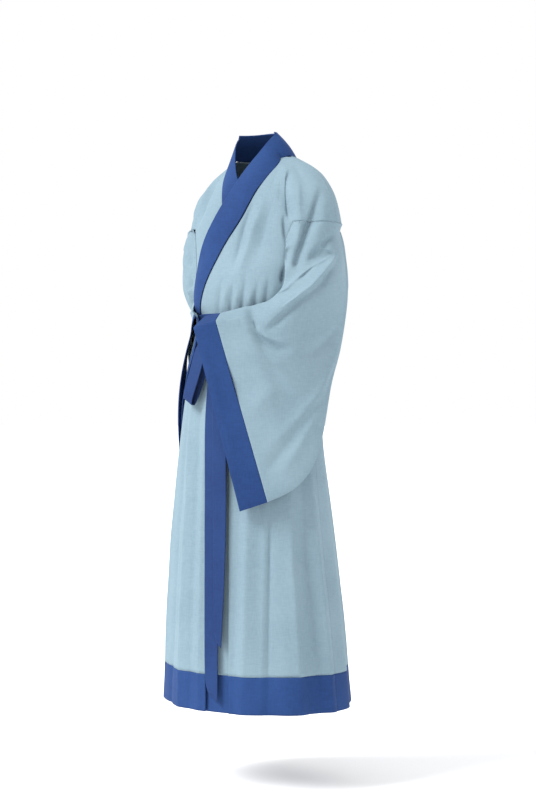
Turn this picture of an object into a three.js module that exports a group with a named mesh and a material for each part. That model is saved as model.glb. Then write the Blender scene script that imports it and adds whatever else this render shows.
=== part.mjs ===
// A cross-collar robe with wide hanging sleeves, worn on nobody: every piece is a thin wall of cloth
// that keeps the shape it takes on a standing figure with both forearms held before the waist.
// Millimetres, +Z up, +X to the wearer's left, the front faces -Y, origin in the middle of the neck.
import * as THREE from 'three';
import { mergeVertices } from 'three/addons/utils/BufferGeometryUtils.js';

const clothThick = 1.6;
const bandThick = 2;
const seamGap = 0.5;
const layerDrop = 6;
const sleeveClear = 7.5;
const sleeveHollow = 9;
const ridgeClear = 5;
const dropSeamGap = 1;
const collarGapTurn = 0.75;

const hemZ = -1280;
const hemBandHeight = 87;
const waistZ = -375;
const dropSeamZ = -140;
const neckSeamZ = 28;
const creaseTurn = 45;
const backCreaseTurn = 135;
const sideTurn = 90;
const underEdgeTurn = 40;
const overlapFreeTurn = -78;

const beltHeight = 46;
const ribbonWidth = 37;
const beltLift = bandThick + 0.7;
const beltTopZ = waistZ + beltHeight / 2;

const cloth = new THREE.MeshStandardMaterial({ color: 0xa3becd, roughness: 0.85, metalness: 0 });
const band = new THREE.MeshStandardMaterial({ color: 0x32508f, roughness: 0.8, metalness: 0 });

const { degToRad, lerp, smoothstep, clamp } = THREE.MathUtils;

// Level rings round the neck, the shoulders and the upper arms, down to the drop seam.
const shoulderRings = [
  { z: 90, halfWidth: 53, front: 53, back: 53, middle: -36, power: 1 },
  { z: 60, halfWidth: 60, front: 58, back: 54, middle: -18, power: 1 },
  { z: 44, halfWidth: 68, front: 50, back: 60, middle: -8, power: 1 },
  { z: 28, halfWidth: 84, front: 30, back: 72, middle: 0, power: 1 },
  { z: 20, halfWidth: 100, front: 40, back: 77, middle: 3, power: 1 },
  { z: 6, halfWidth: 126, front: 61, back: 80, middle: 11, power: 1 },
  { z: -8, halfWidth: 150, front: 79, back: 83, middle: 13, power: 1 },
  { z: -32, halfWidth: 179, front: 94, back: 89, middle: 9, power: 1 },
  { z: -75, halfWidth: 208, front: 109, back: 99, middle: 3, power: 1 },
  { z: -140, halfWidth: 223, front: 123, back: 112, middle: 1, power: 1 },
];

// Level rings round the trunk and the skirt, from the drop seam to the hem.
const trunkRings = [
  { z: -140, halfWidth: 160, front: 121, back: 112, middle: 0, power: 0.8 },
  { z: -215, halfWidth: 166, front: 123, back: 118, middle: -11, power: 0.8 },
  { z: -325, halfWidth: 167, front: 129, back: 126, middle: -27, power: 0.9 },
  { z: -375, halfWidth: 150, front: 112, back: 112, middle: -30, power: 1 },
  { z: -450, halfWidth: 168, front: 128, back: 128, middle: -36, power: 1 },
  { z: -600, halfWidth: 183, front: 141, back: 141, middle: -43, power: 1 },
  { z: -800, halfWidth: 200, front: 160, back: 160, middle: -42, power: 1 },
  { z: -945, halfWidth: 214, front: 176, back: 176, middle: -36, power: 1 },
  { z: -1280, halfWidth: 240, front: 200, back: 200, middle: -22, power: 1 },
];

// The outer edge of the collar on the overlapping front, as a turn round the body at each height.
const collarEdge = [
  { z: 28, turn: 76 },
  { z: 24, turn: 59 },
  { z: 22, turn: 48 },
  { z: 12, turn: 42 },
  { z: -1, turn: 34.5 },
  { z: -22, turn: 26 },
  { z: -66, turn: 16.2 },
  { z: -110, turn: 10.8 },
  { z: -140, turn: 6.5 },
  { z: -179, turn: -2.3 },
  { z: -218, turn: -7.8 },
  { z: -261, turn: -14 },
  { z: -300, turn: -20 },
  { z: -335, turn: -26 },
  { z: -352, turn: -30.5 },
  { z: -375, turn: -38 },
];

// The collar's free edge beside each of those heights, where the band stands off the neck and chest.
const collarFree = [
  { x: 55, y: -22, z: 80 },
  { x: 53, y: -33, z: 72 },
  { x: 51, y: -42, z: 63 },
  { x: 45, y: -52, z: 49 },
  { x: 37, y: -62, z: 32 },
  { x: 26, y: -77, z: 10 },
  { x: 8, y: -95, z: -24 },
  { x: -13, y: -108, z: -62 },
  { x: -38, y: -121, z: -102 },
  { x: -68, y: -123, z: -147 },
  { x: -93, y: -120, z: -188 },
  { x: -104, y: -122, z: -238 },
  { x: -112, y: -123, z: -280 },
  { x: -120, y: -119, z: -318 },
  { x: -121, y: -110, z: -341 },
];

// Turn of the slit's two edges down the skirt: the overlapping front and the panel it leaves bare.
const slitEdges = [
  { z: -375, outer: 11, inner: 10.3 },
  { z: -430, outer: 11.5, inner: 9.6 },
  { z: -600, outer: 14, inner: 5 },
  { z: -800, outer: 17, inner: 1.5 },
  { z: -1280, outer: 17.6, inner: 2 },
];

// Soft upright folds of the skirt: the turn and half width in degrees, the height in millimetres at the hem.
const skirtFolds = [
  { turn: -62, spread: 9, height: 7 },
  { turn: -38, spread: 8, height: -5 },
  { turn: -20, spread: 9, height: 5 },
  { turn: 30, spread: 8, height: 5 },
  { turn: 42, spread: 6, height: -6 },
  { turn: 56, spread: 8, height: 7 },
  { turn: 71, spread: 6, height: -8 },
  { turn: 84, spread: 7, height: 6 },
  { turn: 104, spread: 8, height: 8 },
  { turn: 122, spread: 7, height: -8 },
  { turn: 140, spread: 9, height: 8 },
  { turn: 160, spread: 7, height: -7 },
  { turn: 180, spread: 9, height: 7 },
  { turn: -158, spread: 8, height: -7 },
  { turn: -138, spread: 9, height: 8 },
  { turn: -118, spread: 7, height: -8 },
  { turn: -98, spread: 8, height: 7 },
];

// Creases that fan from the neck over each shoulder to the crook of the arm: turn at the top and bottom.
const armFolds = [
  { top: 30, bottom: 44, spread: 4, height: -7 },
  { top: 40, bottom: 52, spread: 4, height: 7 },
  { top: 52, bottom: 60, spread: 4, height: -7 },
  { top: 66, bottom: 70, spread: 5, height: 5 },
  { top: 132, bottom: 122, spread: 6, height: -6 },
  { top: 146, bottom: 136, spread: 6, height: 6 },
];

// Reads a table by height, with a smooth curve through its rows.
function readTable(table, column, z) {
  let row = 0;
  while (row < table.length - 2 && z < table[row + 1].z) {
    row += 1;
  }
  const high = table[row];
  const low = table[row + 1];
  const before = table[Math.max(row - 1, 0)];
  const after = table[Math.min(row + 2, table.length - 1)];
  const span = high.z - low.z;
  const t = clamp((high.z - z) / span, 0, 1);
  const slopeHigh = (low[column] - before[column]) / (before.z - low.z) * span;
  const slopeLow = (after[column] - high[column]) / (high.z - after.z) * span;
  const t2 = t * t;
  const t3 = t2 * t;
  return (2 * t3 - 3 * t2 + 1) * high[column] + (t3 - 2 * t2 + t) * slopeHigh
    + (3 * t2 - 2 * t3) * low[column] + (t3 - t2) * slopeLow;
}

// One hump or dip, 1 at its middle and 0 beyond its half width.
function hump(distance, spread) {
  const near = clamp(1 - Math.abs(distance) / (spread * 1.6), 0, 1);
  return near * near * (3 - 2 * near);
}

function turnBetween(turn, other) {
  return ((turn - other + 540) % 360) - 180;
}

function skirtFoldHeight(turn, z) {
  const grow = smoothstep(-z, 420, 1180);
  let height = 0;
  for (const fold of skirtFolds) {
    height += fold.height * hump(turnBetween(turn, fold.turn), fold.spread);
  }
  return height * grow;
}

function armFoldHeight(turn, z) {
  const down = clamp((20 - z) / (20 - dropSeamZ), 0, 1);
  const fade = Math.sin(Math.PI * clamp((10 - z) / 190, 0, 1));
  let height = 0;
  for (const fold of armFolds) {
    height += fold.height * hump(Math.abs(turn) - lerp(fold.top, fold.bottom, down), fold.spread);
  }
  return height * fade;
}

// A point of one ring. Turn is 0 at the front, +90 at the wearer's left side and 180 at the back.
function ringPoint(table, turn, z, lift) {
  const angle = degToRad(turn);
  const power = readTable(table, 'power', z);
  const across = Math.sign(Math.sin(angle)) * Math.abs(Math.sin(angle)) ** power;
  const ahead = Math.sign(Math.cos(angle)) * Math.abs(Math.cos(angle)) ** power;
  const depth = readTable(table, ahead > 0 ? 'front' : 'back', z) + lift;
  const x = (readTable(table, 'halfWidth', z) + lift) * across;
  return new THREE.Vector3(x, readTable(table, 'middle', z) - depth * ahead, z);
}

function shoulder(turn, z, lift = 0) {
  return ringPoint(shoulderRings, turn, z, lift + armFoldHeight(turn, z));
}

// How far the trunk is still drawn out towards the arm, just under the drop seam.
function armPull(turn, z) {
  const fade = smoothstep(z, -270, dropSeamZ);
  const fromFront = Math.abs(turn);
  if (fromFront <= creaseTurn || fromFront >= backCreaseTurn) {
    return fade;
  }
  const crease = fromFront < sideTurn ? creaseTurn : backCreaseTurn;
  return fade * ((sideTurn - fromFront) / (sideTurn - crease)) ** 2;
}

function trunk(turn, z, lift = 0) {
  const raised = lift + skirtFoldHeight(turn, z);
  const point = ringPoint(trunkRings, turn, Math.min(z, dropSeamZ), raised);
  point.lerp(ringPoint(shoulderRings, turn, dropSeamZ, lift + armFoldHeight(turn, z)), armPull(turn, z));
  point.z = z;
  return point;
}

function body(turn, z, lift = 0) {
  return z >= dropSeamZ ? shoulder(turn, z, lift) : trunk(turn, z, lift);
}

// The way straight out of the cloth, taken from the body's own shape so that seams meet square.
function outOf(surface, turn, z) {
  const across = surface(turn + 0.5, z).sub(surface(turn - 0.5, z));
  const up = surface(turn, z + 0.5).sub(surface(turn, z - 0.5));
  return across.cross(up).normalize();
}

// Moves a point level with itself until it stands clear of the body, or until it lies at that distance.
function clearOfBody(point, clear, exact = false) {
  const rings = point.z < dropSeamZ ? trunkRings : shoulderRings;
  const middle = readTable(rings, 'middle', point.z);
  const bearing = (at) => Math.atan2(Math.abs(at.x), middle - at.y);
  const wanted = bearing(point);
  let low = 0;
  let high = 180;
  for (let step = 0; step < 18; step += 1) {
    const half = (low + high) / 2;
    if (bearing(body(half * Math.sign(point.x), point.z)) < wanted) {
      low = half;
    } else {
      high = half;
    }
  }
  const wall = body(low * Math.sign(point.x), point.z);
  const reach = Math.hypot(wall.x, wall.y - middle) + clear;
  const from = Math.hypot(point.x, point.y - middle);
  if (from < reach || exact) {
    point.x *= reach / from;
    point.y = middle + (point.y - middle) * reach / from;
  }
  return point;
}

// A piece of cloth under way: named points, and the four-cornered cells between them.
class Cloth {
  constructor() {
    this.points = [];
    this.known = [];
    this.names = new Map();
    this.cells = [];
  }

  point(name, position, normal) {
    if (!this.names.has(name)) {
      this.names.set(name, this.points.length);
      this.points.push(position);
      this.known.push(normal);
    }
    return this.names.get(name);
  }

  cell(a, b, c, d) {
    this.cells.push([a, b, c, d]);
  }

  // Gives the cells a thickness inwards and closes the wall along every free edge.
  wall(thick) {
    const count = this.points.length;
    const normals = this.points.map(() => new THREE.Vector3());
    const edges = new Map();
    const faces = [];
    for (const cell of this.cells) {
      const [a, b, c, d] = cell.map((index) => this.points[index]);
      const normal = new THREE.Vector3().crossVectors(c.clone().sub(a), d.clone().sub(b));
      for (let k = 0; k < 4; k += 1) {
        normals[cell[k]].add(normal);
        edges.set(`${cell[k]},${cell[(k + 1) % 4]}`, [cell[k], cell[(k + 1) % 4]]);
      }
      faces.push(cell[0], cell[1], cell[2], cell[0], cell[2], cell[3]);
      faces.push(cell[0] + count, cell[2] + count, cell[1] + count);
      faces.push(cell[0] + count, cell[3] + count, cell[2] + count);
    }
    for (const [from, to] of edges.values()) {
      if (!edges.has(`${to},${from}`)) {
        faces.push(to, from, from + count, to, from + count, to + count);
      }
    }
    const inner = this.points.map((at, k) => {
      const normal = this.known[k] || normals[k].normalize();
      return at.clone().addScaledVector(normal, -thick);
    });
    const geometry = new THREE.BufferGeometry().setFromPoints([...this.points, ...inner]);
    geometry.setIndex(faces);
    geometry.computeVertexNormals();
    return geometry;
  }
}

// A grid of points from a function of row and column. Rows run down, columns run to the wearer's left.
function gridWall(rows, columns, place, thick, closed = false, mirrored = false, normalAt = () => undefined) {
  const sheet = new Cloth();
  const wide = closed ? columns : columns + 1;
  for (let i = 0; i <= rows; i += 1) {
    for (let j = 0; j < wide; j += 1) {
      sheet.point(`${i},${j}`, place(i, j), normalAt(i, j));
    }
  }
  for (let i = 0; i < rows; i += 1) {
    for (let j = 0; j < columns; j += 1) {
      const next = (j + 1) % wide;
      const corners = [i * wide + j, (i + 1) * wide + j, (i + 1) * wide + next, i * wide + next];
      sheet.cell(...(mirrored ? corners.reverse() : corners));
    }
  }
  return sheet.wall(thick);
}

const robe = new THREE.Group();

function addPiece(name, geometry, material) {
  const piece = new THREE.Mesh(geometry, material);
  piece.name = name;
  robe.add(piece);
}

const gapTurn = seamGap / 170 * 180 / Math.PI / 2;
const collarRows = collarEdge.map((row) => row.z);
const chestRows = collarRows.filter((z) => z <= 24);
const skirtRows = [-375, -398, -450, -510, -580, -660, -740, -820, -900, -980, -1060, -1130,
  hemZ + hemBandHeight];

// How far a layer lies inside the outer one: the under front sinks beneath the overlapping front.
function underLift(turn, z) {
  const fromSide = 1 - smoothstep(Math.abs(turn), 80, 89);
  return -layerDrop * fromSide * smoothstep(-z, -10, 60);
}

// A front or back panel with its half of the upper arm. Above the drop seam its columns run on over
// the arm, and below it they turn in under the arm to the side seam.
function panel({ side, free, crease, seam, columns, armColumns, rows, lift, slit }) {
  const sheet = new Cloth();
  const last = columns + armColumns;
  const flipped = (side < 0) !== (seam < crease);
  const turnAt = (i, j) => {
    const z = rows[i];
    const from = slit && z < waistZ ? slit.turn(z) : free(z);
    const first = slit && z < waistZ ? slit.column : 0;
    const turn = j <= columns
      ? lerp(from, crease, (j - first) / (columns - first))
      : lerp(crease, seam, (j - columns) / armColumns);
    return turn * side;
  };
  const split = rows.indexOf(dropSeamZ);
  const spot = (i, j, upper) => {
    const turn = turnAt(i, j);
    const underArm = i > split || (i === split && !upper && j > columns);
    const surface = underArm ? trunk : shoulder;
    const name = `${i},${j},${underArm}`;
    return sheet.point(name, surface(turn, rows[i], lift(turn, rows[i])), outOf(surface, turn, rows[i]));
  };
  for (let i = 0; i < rows.length - 1; i += 1) {
    const start = slit && rows[i] <= waistZ ? slit.column : 0;
    for (let j = start; j < last; j += 1) {
      const upper = i < split;
      const corners = [
        spot(i, j, upper), spot(i + 1, j, upper), spot(i + 1, j + 1, upper), spot(i, j + 1, upper),
      ];
      sheet.cell(...(flipped ? corners.reverse() : corners));
    }
  }
  return sheet.wall(clothThick);
}

const noLift = () => 0;

// Overlapping left front: across the chest to the right waist, and down the left of the skirt to the slit.
addPiece('front_left', panel({
  side: 1,
  free: (z) => readTable(collarEdge, 'turn', z) + gapTurn,
  crease: creaseTurn,
  seam: sideTurn - gapTurn,
  columns: 12,
  armColumns: 5,
  rows: [...chestRows, ...skirtRows.slice(1)],
  lift: noLift,
  slit: { column: 7, turn: (z) => readTable(slitEdges, 'outer', z) },
}), cloth);

// Under right front: its own diagonal edge and the skirt layer that shows in the slit.
addPiece('front_right', panel({
  side: -1,
  free: (z) => (z > waistZ ? readTable(collarEdge, 'turn', z) + gapTurn : -underEdgeTurn),
  crease: creaseTurn,
  seam: sideTurn - gapTurn,
  columns: 10,
  armColumns: 5,
  rows: [...chestRows, ...skirtRows.slice(1)],
  lift: underLift,
}), cloth);

for (const [name, side] of [['back_left', 1], ['back_right', -1]]) {
  addPiece(name, panel({
    side,
    free: () => 180 - gapTurn,
    crease: backCreaseTurn,
    seam: sideTurn + gapTurn,
    columns: 5,
    armColumns: 5,
    rows: [neckSeamZ - seamGap, ...chestRows.slice(1), ...skirtRows.slice(1)],
    lift: noLift,
  }), cloth);
}

// The skirt panel that the overlapping front carries to the wearer's right, under the belt.
const overlapRows = skirtRows.map((z) => (z === waistZ ? z - seamGap : z));
const overlapTurn = (i, j) => lerp(overlapFreeTurn, readTable(slitEdges, 'inner', overlapRows[i]), j / 9);
addPiece('overlap_panel', gridWall(
  overlapRows.length - 1,
  9,
  (i, j) => trunk(overlapTurn(i, j), overlapRows[i]),
  clothThick,
  false,
  false,
  (i, j) => outOf(trunk, overlapTurn(i, j), overlapRows[i]),
), cloth);

// Hem bands, one along each skirt panel.
function hemBand(name, from, to, columns, lift) {
  const top = hemZ + hemBandHeight - seamGap;
  const turnAt = (j) => lerp(from, to, j / columns);
  const heightAt = (i) => lerp(top, hemZ, i / 2);
  const place = (i, j) => trunk(turnAt(j), heightAt(i), lift(turnAt(j), heightAt(i)));
  const normalAt = (i, j) => outOf(trunk, turnAt(j), heightAt(i));
  addPiece(name, gridWall(2, columns, place, bandThick, false, false, normalAt), band);
}
hemBand('hem_front_left', 17.6, sideTurn - gapTurn, 11, noLift);
hemBand('hem_overlap', overlapFreeTurn, 2, 10, noLift);
hemBand('hem_front_right', -sideTurn + gapTurn, underEdgeTurn, 15, underLift);
hemBand('hem_back_left', sideTurn + gapTurn, 180 - gapTurn, 10, noLift);
hemBand('hem_back_right', -180 + gapTurn, -sideTurn - gapTurn, 10, noLift);

// The collar is one long band that ends on top of the belt: up the overlapping front, round the
// neck, and down the under front.
function collarLine(side, row) {
  const edge = collarEdge[row];
  const free = collarFree[row];
  const turn = (edge.turn - collarGapTurn) * side;
  const lift = side < 0 ? underLift(turn, edge.z) : 0;
  const inside = new THREE.Vector3(free.x * side, free.y, free.z);
  const covered = side < 0 && free.z < -30;
  if (side < 0 && !covered) {
    inside.y += layerDrop * smoothstep(-free.z, -30, 20);
  }
  if (covered) {
    clearOfBody(inside, -layerDrop - 1, true);
  }
  return [body(turn, edge.z === beltTopZ ? edge.z + 1.8 : edge.z, lift), inside, covered ? 0 : 5];
}
const neckTurns = [96, 115, 135, 157, 180, 203, 225, 245, 264];
const collarLines = [
  ...collarFree.map((row, k) => collarLine(1, collarFree.length - 1 - k)),
  ...neckTurns.map((turn) => [
    body(turn, neckSeamZ + seamGap),
    body(turn, lerp(84, 89, 1 - Math.abs(turn - 180) / 90)),
    5,
  ]),
  ...collarFree.map((row, k) => collarLine(-1, k)),
];
const collarSteps = 4;
addPiece('collar_band', gridWall(collarLines.length - 1, collarSteps, (i, j) => {
  const [outer, inner, crown] = collarLines[i];
  const t = j / collarSteps;
  const middle = new THREE.Vector3(0, 0, (outer.z + inner.z) / 2);
  const atNeck = i >= collarFree.length && i < collarFree.length + neckTurns.length;
  middle.y = readTable(atNeck ? shoulderRings : trunkRings, 'middle', middle.z);
  const at = outer.clone().lerp(inner, t);
  const away = at.clone().sub(middle).setZ(0).normalize();
  return at.addScaledVector(away, crown * Math.sin(Math.PI * t));
}, bandThick, false, true), band);

// The left sleeve hangs from the forearm as a flat bag. Each row is one section across the sleeve:
// its ridge along the arm, the fold outside the ridge, and its foot, as distances along the forearm,
// out from the body and up, then the way that its face looks and how far its two faces swell.
const leftSleeveRows = [
  { ridgeAlong: 52, ridgeOut: 168, ridgeUp: -185, foldAlong: 118, foldOut: 184, foldUp: -180,
    footAlong: 188, footOut: 80, footUp: -180, facing: 75, swell: 18, press: 20 },
  { ridgeAlong: 51, ridgeOut: 176, ridgeUp: -240, foldAlong: 140, foldOut: 180, foldUp: -205,
    footAlong: 194, footOut: 88, footUp: -225, facing: 68, swell: 19, press: 18 },
  { ridgeAlong: 48, ridgeOut: 190, ridgeUp: -284, foldAlong: 153, foldOut: 168, foldUp: -216,
    footAlong: 197, footOut: 94, footUp: -250, facing: 60, swell: 19, press: 16 },
  { ridgeAlong: 40, ridgeOut: 204, ridgeUp: -302, foldAlong: 135, foldOut: 202, foldUp: -262,
    footAlong: 199, footOut: 100, footUp: -300, facing: 52, swell: 18, press: 14 },
  { ridgeAlong: 30, ridgeOut: 202, ridgeUp: -313, foldAlong: 105, foldOut: 222, foldUp: -298,
    footAlong: 196, footOut: 108, footUp: -345, facing: 46, swell: 18, press: 14 },
  { ridgeAlong: 21, ridgeOut: 200, ridgeUp: -321, foldAlong: 76, foldOut: 230, foldUp: -320,
    footAlong: 186, footOut: 122, footUp: -410, facing: 42, swell: 16, press: 10 },
  { ridgeAlong: 11, ridgeOut: 198, ridgeUp: -328, foldAlong: 48, foldOut: 234, foldUp: -339,
    footAlong: 169, footOut: 150, footUp: -480, facing: 40, swell: 12, press: 6 },
  { ridgeAlong: -2, ridgeOut: 196, ridgeUp: -332, foldAlong: 22, foldOut: 236, foldUp: -359,
    footAlong: 150, footOut: 190, footUp: -560, facing: 40, swell: 8, press: 2 },
  { ridgeAlong: -16, ridgeOut: 195, ridgeUp: -336, foldAlong: -2, foldOut: 236, foldUp: -378,
    footAlong: 135, footOut: 215, footUp: -645, facing: 40, swell: 6, press: 0 },
  { ridgeAlong: -30, ridgeOut: 194, ridgeUp: -340, foldAlong: -20, foldOut: 234, foldUp: -391,
    footAlong: 112, footOut: 226, footUp: -712, facing: 40, swell: 6, press: 0 },
  { ridgeAlong: -42, ridgeOut: 194, ridgeUp: -341, foldAlong: -43, foldOut: 241, foldUp: -373,
    footAlong: 80, footOut: 232, footUp: -752, facing: 40, swell: 6, press: 0 },
  { ridgeAlong: -64, ridgeOut: 192, ridgeUp: -347, foldAlong: -70, foldOut: 238, foldUp: -374,
    footAlong: 52, footOut: 235, footUp: -771, facing: 40, swell: 5, press: 0 },
  { ridgeAlong: -100, ridgeOut: 190, ridgeUp: -356, foldAlong: -110, foldOut: 234, foldUp: -375,
    footAlong: 8, footOut: 238, footUp: -790, facing: 40, swell: 3, press: 0 },
  { ridgeAlong: -135, ridgeOut: 186, ridgeUp: -363, foldAlong: -161, foldOut: 225, foldUp: -390,
    footAlong: -55, footOut: 232, footUp: -811, facing: 40, swell: 2, press: 0 },
];

// The right sleeve is drawn back round the hip, so its forearm line is shorter and its bag hangs at the side.
const rightSleeveRows = [
  { ridgeAlong: -98, ridgeOut: 150, ridgeUp: -185, foldAlong: -50, foldOut: 214, foldUp: -182,
    footAlong: 72, footOut: 198, footUp: -180, facing: 82, swell: 16, press: 18 },
  { ridgeAlong: -106, ridgeOut: 146, ridgeUp: -235, foldAlong: -52, foldOut: 219, foldUp: -230,
    footAlong: 80, footOut: 206, footUp: -240, facing: 82, swell: 16, press: 18 },
  { ridgeAlong: -113, ridgeOut: 146, ridgeUp: -284, foldAlong: -46, foldOut: 224, foldUp: -282,
    footAlong: 86, footOut: 220, footUp: -300, facing: 80, swell: 15, press: 16 },
  { ridgeAlong: -120, ridgeOut: 145, ridgeUp: -312, foldAlong: -45, foldOut: 208, foldUp: -316,
    footAlong: 92, footOut: 225, footUp: -370, facing: 78, swell: 14, press: 12 },
  { ridgeAlong: -135, ridgeOut: 120, ridgeUp: -328, foldAlong: -42, foldOut: 190, foldUp: -342,
    footAlong: 92, footOut: 228, footUp: -450, facing: 77, swell: 12, press: 8 },
  { ridgeAlong: -143, ridgeOut: 106, ridgeUp: -340, foldAlong: -50, foldOut: 182, foldUp: -360,
    footAlong: 86, footOut: 232, footUp: -540, facing: 76, swell: 12, press: 6 },
  { ridgeAlong: -150, ridgeOut: 94, ridgeUp: -346, foldAlong: -62, foldOut: 168, foldUp: -372,
    footAlong: 78, footOut: 234, footUp: -640, facing: 74, swell: 12, press: 4 },
  { ridgeAlong: -155, ridgeOut: 87, ridgeUp: -350, foldAlong: -78, foldOut: 154, foldUp: -380,
    footAlong: 50, footOut: 234, footUp: -720, facing: 72, swell: 12, press: 2 },
  { ridgeAlong: -159, ridgeOut: 82, ridgeUp: -353, foldAlong: -100, foldOut: 138, foldUp: -387,
    footAlong: 12, footOut: 228, footUp: -775, facing: 72, swell: 13, press: 0 },
  { ridgeAlong: -163, ridgeOut: 75, ridgeUp: -356, foldAlong: -140, foldOut: 108, foldUp: -398,
    footAlong: -48, footOut: 206, footUp: -805, facing: 72, swell: 15, press: 0 },
];

const topSteps = 3;
const faceSteps = 8;
const footSteps = 3;
const innerSteps = 8;
const loopSteps = topSteps + faceSteps + footSteps + innerSteps;
const footRound = 9;

// The first section of a sleeve, under the drop seam: out over the arm and back along the trunk.
function armholeLoop(side) {
  const outerSteps = topSteps + faceSteps;
  const loop = [];
  for (let j = 0; j <= outerSteps; j += 1) {
    loop.push(shoulder(lerp(creaseTurn + 1, backCreaseTurn - 2, j / outerSteps) * side, dropSeamZ));
  }
  for (let j = 1; j < footSteps; j += 1) {
    loop.push(trunk((backCreaseTurn - 3 - 3 * j) * side, dropSeamZ - 1, 3 + 3 * j));
  }
  for (let j = 0; j <= innerSteps - 1; j += 1) {
    const turn = lerp(backCreaseTurn - 14, creaseTurn + 10, j / (innerSteps - 1));
    loop.push(trunk(turn * side, dropSeamZ - 1, 9));
  }
  for (const point of loop) {
    point.z = dropSeamZ - dropSeamGap;
  }
  return loop;
}

// The inner face of a sleeve keeps a little off the body, and its outer face stays off the inner one.
function clearAt(j) {
  const outerSteps = topSteps + faceSteps;
  const inwards = clamp((j - outerSteps) / footSteps, 0, 1);
  const nearRidge = j > outerSteps + footSteps ? 0 : clamp(j / topSteps, 0, 1);
  const atRidge = j === 0 ? sleeveClear - ridgeClear : 0;
  return sleeveClear - atRidge + sleeveHollow * (1 - inwards) * nearRidge;
}

function sectionLoop(side, frameTurn, row) {
  const along = new THREE.Vector3(Math.cos(degToRad(frameTurn)), Math.sin(degToRad(frameTurn)), 0);
  const out = new THREE.Vector3(along.y, -along.x, 0);
  const at = (a, o, z) => along.clone().multiplyScalar(a).addScaledVector(out, o).setZ(z);
  const ridge = at(row.ridgeAlong, row.ridgeOut, row.ridgeUp);
  const fold = at(row.foldAlong, row.foldOut, row.foldUp);
  const foot = at(row.footAlong, row.footOut, row.footUp);
  const facing = new THREE.Vector3(Math.sin(degToRad(row.facing)), -Math.cos(degToRad(row.facing)), 0);
  const down = foot.clone().sub(ridge).normalize();
  const loop = [];
  for (let j = 0; j < topSteps; j += 1) {
    const t = j / topSteps;
    loop.push(ridge.clone().lerp(fold, t).addScaledVector(facing, 4 * Math.sin(Math.PI * t)));
  }
  const footOuter = foot.clone().addScaledVector(facing, footRound * 0.8).addScaledVector(down, -footRound);
  for (let j = 0; j <= faceSteps; j += 1) {
    const t = j / faceSteps;
    loop.push(fold.clone().lerp(footOuter, t).addScaledVector(facing, row.swell * Math.sin(Math.PI * t)));
  }
  for (let j = 1; j < footSteps; j += 1) {
    const angle = Math.PI * j / footSteps;
    const round = foot.clone().addScaledVector(facing, footRound * 0.8 * Math.cos(angle));
    loop.push(round.addScaledVector(down, footRound * (Math.sin(angle) - 1)));
  }
  const footInner = foot.clone().addScaledVector(facing, -footRound * 0.8).addScaledVector(down, -footRound);
  const ridgeInner = ridge.clone().addScaledVector(facing, -8).addScaledVector(down, 9);
  for (let j = 0; j < innerSteps; j += 1) {
    const t = j / (innerSteps - 1);
    const point = footInner.clone().lerp(ridgeInner, t);
    loop.push(point.addScaledVector(facing, -row.press * Math.sin(Math.PI * t)));
  }
  loop.forEach((point, j) => {
    point.x *= side;
    clearOfBody(point, clearAt(j));
  });
  return loop;
}

// Reads the list of sections at any place between two of them.
function alongSleeve(loops, place, j) {
  const row = Math.min(Math.floor(place), loops.length - 2);
  const curve = [row - 1, row, row + 1, row + 2].map((k) => loops[clamp(k, 0, loops.length - 1)][j]);
  const t = place - row;
  const slopeIn = curve[2].clone().sub(curve[0]).multiplyScalar(0.5);
  const slopeOut = curve[3].clone().sub(curve[1]).multiplyScalar(0.5);
  const t2 = t * t;
  const t3 = t2 * t;
  return curve[1].clone().multiplyScalar(2 * t3 - 3 * t2 + 1)
    .addScaledVector(slopeIn, t3 - 2 * t2 + t)
    .addScaledVector(curve[2], 3 * t2 - 2 * t3)
    .addScaledVector(slopeOut, t3 - t2);
}

function addSleeve(name, side, frameTurn, rows, steps) {
  const loops = [armholeLoop(side), ...rows.map((row) => sectionLoop(side, frameTurn, row))];
  const seam = loops.length - 2;
  const gap = seamGap / 45;
  const place = (from, to, count) => (i, j) => {
    const point = alongSleeve(loops, lerp(from, to, i / count), j);
    return i === 0 && from === 0 ? point : clearOfBody(point, clearAt(j) - 1);
  };
  const mirrored = side > 0;
  const sleeveWall = gridWall(steps, loopSteps, place(0, seam - gap, steps), clothThick, true, mirrored);
  addPiece(`sleeve_${name}`, sleeveWall, cloth);
  const cuffWall = gridWall(3, loopSteps, place(seam + gap, seam + 1, 3), bandThick, true, mirrored);
  addPiece(`cuff_${name}`, cuffWall, band);
}
addSleeve('left', 1, 40, leftSleeveRows, 26);
addSleeve('right', -1, 90, rightSleeveRows, 18);

// The belt: one turn of ribbon round the waist, its knot, a hanging loop and two tails.
const beltColumns = 48;
const beltSpot = (i, j) => [360 * j / beltColumns, beltTopZ - beltHeight * i / 2];
addPiece('belt', gridWall(
  2,
  beltColumns,
  (i, j) => trunk(...beltSpot(i, j), beltLift),
  bandThick,
  true,
  false,
  (i, j) => outOf(trunk, ...beltSpot(i, j)),
), band);

// A rounded block in front of the belt: the crossed ribbon pulled tight.
const knot = { turn: -6, z: -375, lift: 17.1, halfWidth: 21, halfDepth: 12, halfHeight: 20, squareness: 0.8 };

// Unit directions at a place on the skirt: along the cloth to the wearer's left, and straight out of it.
function tangentAt(turn, z, lift) {
  return trunk(turn + 1, z, lift).sub(trunk(turn - 1, z, lift)).setZ(0).normalize();
}

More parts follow.
